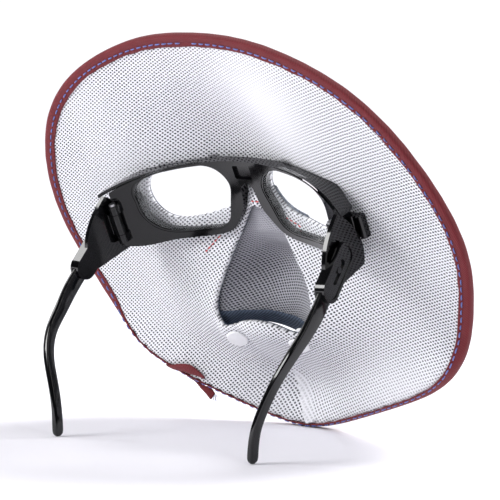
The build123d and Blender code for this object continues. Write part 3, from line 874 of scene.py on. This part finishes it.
def arm_piece(side, word):
    route = spline_points([tuple(p) for p in arm_route], 150, False)
    shares, thicks, wides = zip(*arm_sizes)
    stations = []
    for i, spot in enumerate(route):
        way = route[min(i + 1, len(route) - 1)] - route[max(i - 1, 0)]
        way = way / np.linalg.norm(way)
        across = np.array([1.0, 0, 0]) - way * way[0]
        across = across / np.linalg.norm(across)
        other = np.cross(way, across)
        share = i / (len(route) - 1)
        thick = float(np.interp(share, shares, thicks))
        wide = float(np.interp(share, shares, wides))
        ring = []
        for a, b in rounded_ring(thick, wide, min(thick, wide) * 0.3):
            p = spot + across * a + other * b
            ring.append(place(side * p[0], p[1], p[2]))
        stations.append(ring if side > 0 else ring[::-1])
    piece = sweep(f"temple_bar_{word}", stations, False)
    hole_at = int(0.955 * (len(route) - 1))
    cutter_way = turn(side, 0, -0.07).normalized()
    centre = place(side * route[hole_at][0], route[hole_at][1], route[hole_at][2])
    rings = []
    for depth in (-6, 6):
        across = cutter_way.orthogonal().normalized()
        other = cutter_way.cross(across)
        rings.append([
            centre + cutter_way * depth * 0.001 + (across * math.cos(t) + other * math.sin(t)) * 0.0012
            for t in [2 * math.pi * k / 28 for k in range(28)]
        ])
    cutter = sweep(f"cord_hole_cutter_{word}", rings, False)
    drill = piece.modifiers.new("cord_hole", "BOOLEAN")
    drill.object = cutter
    drill.operation = "DIFFERENCE"
    bpy.context.view_layer.update()
    evaluated = piece.evaluated_get(bpy.context.evaluated_depsgraph_get())
    drilled = bpy.data.meshes.new_from_object(evaluated)
    piece.modifiers.clear()
    piece.data = drilled
    bpy.data.objects.remove(cutter)
    piece.data.materials.clear()
    piece.data.materials.append(black_plastic)
    piece.data.shade_smooth()
    piece.data.set_sharp_from_angle(angle=math.radians(38))
    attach(piece, f"{word}_arm")
    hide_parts(f"temple_arm_{word}")


arm_piece(1, "right")
arm_piece(-1, "left")


# Floor, light and camera
floor_material, nodes, links, shader = material("floor_white", Roughness=0.6)
spot = add_node(nodes, "ShaderNodeTexCoord")
specks = add_node(nodes, "ShaderNodeTexVoronoi", in_Scale=24.0)
links.new(spot.outputs["Object"], specks.inputs["Vector"])
links.new(
    blend_colours(nodes, links, ramp(nodes, links, specks.outputs["Distance"], 0.0, 0.018, 1.0, 0.0),
                  (0.86, 0.85, 0.90), (0.35, 0.34, 0.37)),
    shader.inputs["Base Color"],
)
floor_mesh = bpy.data.meshes.new("floor")
grid = 12
floor_points = [(-3 + 6 * i / grid, -3 + 6 * j / grid, 0) for j in range(grid + 1) for i in range(grid + 1)]
floor_faces = [
    (j * (grid + 1) + i, j * (grid + 1) + i + 1, (j + 1) * (grid + 1) + i + 1, (j + 1) * (grid + 1) + i)
    for j in range(grid) for i in range(grid)
]
floor_mesh.from_pydata(floor_points, [], floor_faces)
floor_mesh.materials.append(floor_material)
floor = bpy.data.objects.new("floor", floor_mesh)
bpy.context.collection.objects.link(floor)

world = bpy.data.worlds.new("studio")
bpy.context.scene.world = world
world.use_nodes = True
nodes, links = world.node_tree.nodes, world.node_tree.links
sky = nodes["Background"]
sky.inputs["Color"].default_value = (0.97, 0.97, 1.0, 1)
path_kind = add_node(nodes, "ShaderNodeLightPath")
seen = ramp(nodes, links, path_kind.outputs["Is Camera Ray"], 0.0, 1.0, 0.40, 1.1)
gloss = ramp(nodes, links, path_kind.outputs["Is Glossy Ray"], 0.0, 1.0, 1.0, 0.07)
links.new(maths(nodes, links, "MULTIPLY", seen, gloss), sky.inputs["Strength"])


def add_area(name, spot, target, size, power, gloss=1.0):
    data = bpy.data.lights.new(name, "AREA")
    data.shape = "RECTANGLE"
    data.size, data.size_y = size
    data.energy = power
    data.specular_factor = gloss
    lamp = bpy.data.objects.new(name, data)
    lamp.location = spot
    lamp.rotation_euler = (Vector(target) - Vector(spot)).to_track_quat("-Z", "Y").to_euler()
    bpy.context.collection.objects.link(lamp)


sun_data = bpy.data.lights.new("key", "SUN")
sun_data.energy = 4.3
sun_data.angle = math.radians(34)
sun = bpy.data.objects.new("key", sun_data)
sun.rotation_euler = Vector((-0.10, -1.0, -0.95)).to_track_quat("-Z", "Y").to_euler()
bpy.context.collection.objects.link(sun)
add_area("fill", (-0.75, -1.15, 0.9), (0, 0, 0.1), (0.8, 0.6), 21, 0.22)
add_area("strip_left", (-1.0, -0.3, 0.55), (0, 0, 0.1), (0.12, 1.0), 3)
add_area("strip_right", (1.1, -0.4, 0.9), (0, 0, 0.1), (0.12, 0.9), 3)

camera_turn = math.radians(43.072)
camera_rise = math.radians(5.3246)
camera_roll = math.radians(0.0993)
camera_distance = 1819.996
focal_share = 7.40884
camera_right = -30.4406
camera_up = 86.8264
right = Vector((math.cos(camera_turn), math.sin(camera_turn), 0))
level_back = Vector((math.sin(camera_turn), -math.cos(camera_turn), 0))
back = level_back * math.cos(camera_rise) + Vector((0, 0, math.sin(camera_rise)))
up = back.cross(right)
camera_data = bpy.data.cameras.new("camera")
camera_data.sensor_width = 36
camera_data.lens = focal_share * camera_data.sensor_width
camera = bpy.data.objects.new("camera", camera_data)
where = (back * camera_distance + right * camera_right + up * camera_up + Vector(base_shift)) * 0.001
rolled_right = right * math.cos(camera_roll) + up * math.sin(camera_roll)
rolled_up = up * math.cos(camera_roll) - right * math.sin(camera_roll)
camera.matrix_world = Matrix((
    (rolled_right.x, rolled_up.x, back.x, where.x),
    (rolled_right.y, rolled_up.y, back.y, where.y),
    (rolled_right.z, rolled_up.z, back.z, where.z),
    (0, 0, 0, 1),
))
bpy.context.collection.objects.link(camera)
bpy.context.scene.camera = camera
bpy.context.scene.view_settings.view_transform = "Standard"
